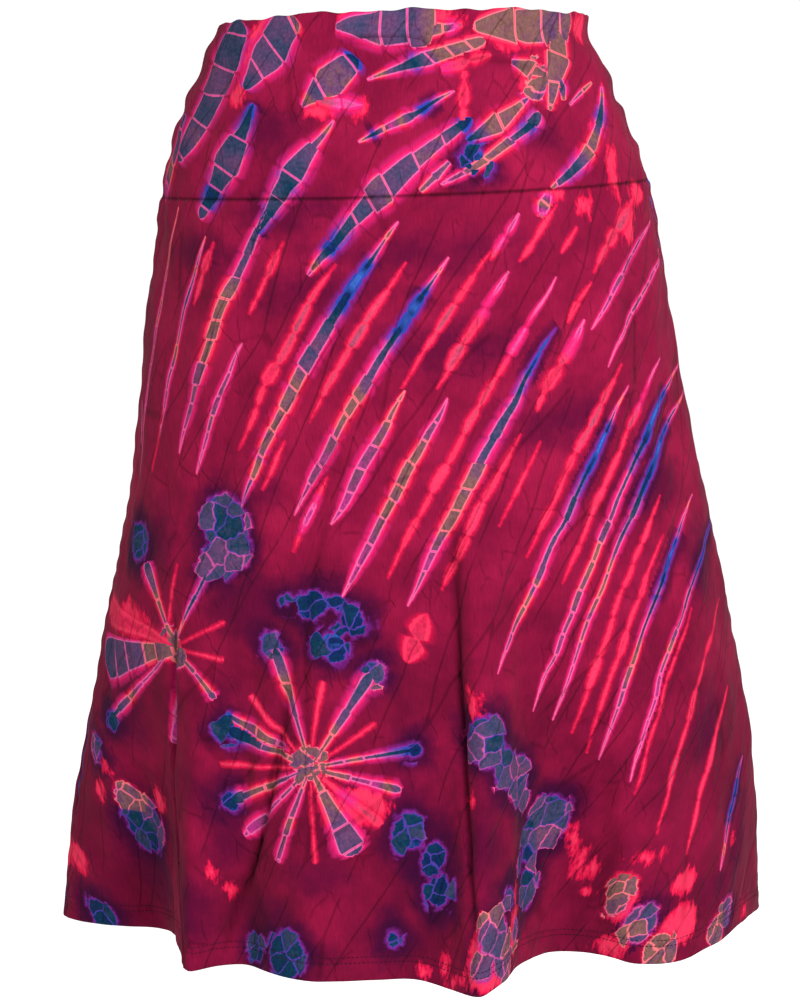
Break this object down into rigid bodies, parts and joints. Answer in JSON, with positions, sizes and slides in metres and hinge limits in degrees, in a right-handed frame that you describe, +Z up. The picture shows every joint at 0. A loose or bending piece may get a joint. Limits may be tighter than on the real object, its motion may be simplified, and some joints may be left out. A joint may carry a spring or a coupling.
{
  "type": "convertible midi skirt",
  "caption": "Flared jersey midi skirt with a wide doubled waistband, side seams and a turned-up hem, in the hollow form it takes when worn.",
  "frame": {"origin": "middle of the waist, a little under the band's folded top edge, where the wearer holds the skirt up", "axes": "+Z up along the body, -Y towards the front, +X to the right as seen from the front"},
  "size_m": [0.4962, 0.3754, 0.6488],
  "materials": {
    "waistband_jersey": "matte tie-dyed cotton jersey, doubled",
    "skirt_jersey": "matte tie-dyed cotton jersey",
    "sewing_thread": "matte polyester sewing thread"
  },
  "bodies": {
    "root": {"waistband_front": "waistband_jersey", "waistband_back": "waistband_jersey", "skirt_front": "skirt_jersey", "skirt_back": "skirt_jersey"}
  },
  "joints": []
}
